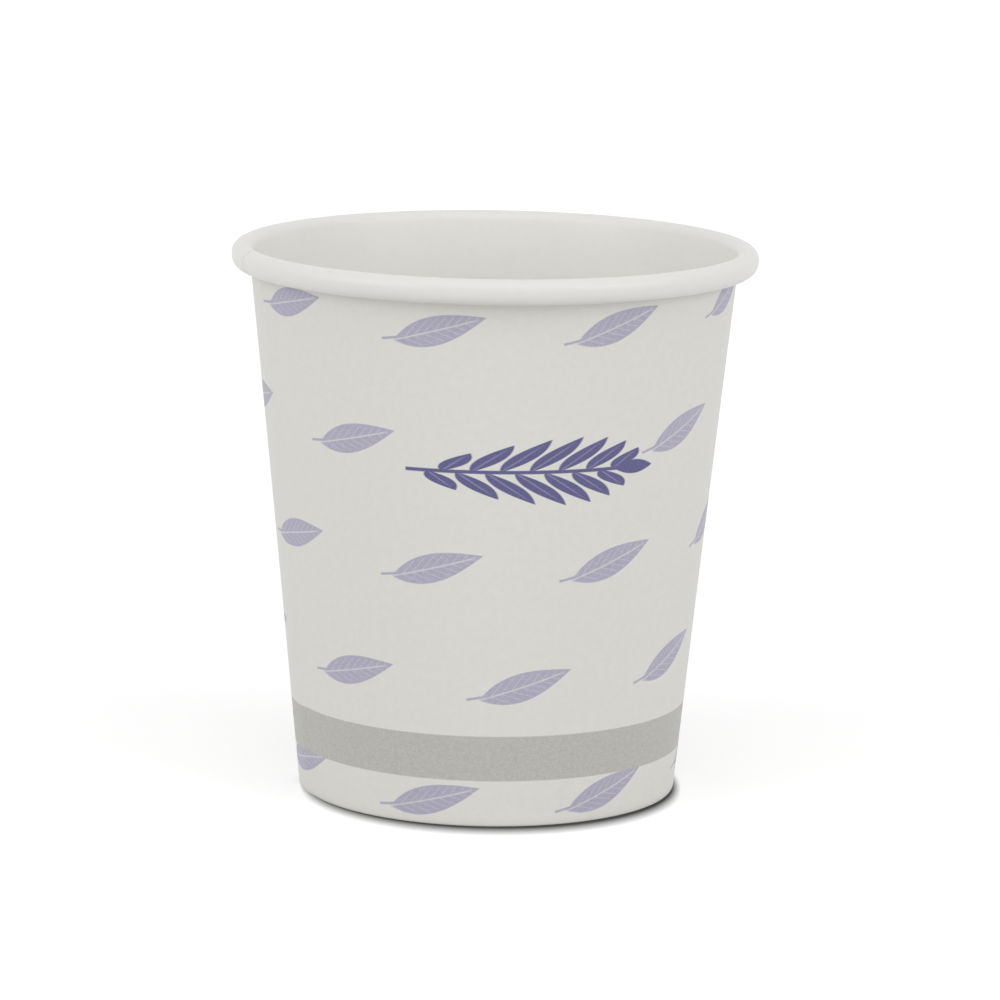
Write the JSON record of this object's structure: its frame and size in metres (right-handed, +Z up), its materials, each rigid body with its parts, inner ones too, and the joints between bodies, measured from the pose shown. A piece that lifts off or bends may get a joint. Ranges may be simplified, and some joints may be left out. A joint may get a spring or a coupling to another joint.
{
  "type": "paper cup",
  "caption": "Tapered paper cup with a rolled rim, a lapped side seam, a folded and knurled heel and a recessed base disc.",
  "frame": {"origin": "centre of the ring that the heel stands on, at ground level", "axes": "+Z up along the cup's axis; the front faces -Y and the side seam is on the left, 199 degrees counter-clockwise from +X"},
  "size_m": [0.073, 0.073, 0.0766],
  "materials": {
    "sidewall": "coated board, satin",
    "base_disc": "coated board, satin"
  },
  "bodies": {
    "root": {"sidewall": "sidewall", "base_disc": "base_disc"}
  },
  "joints": []
}
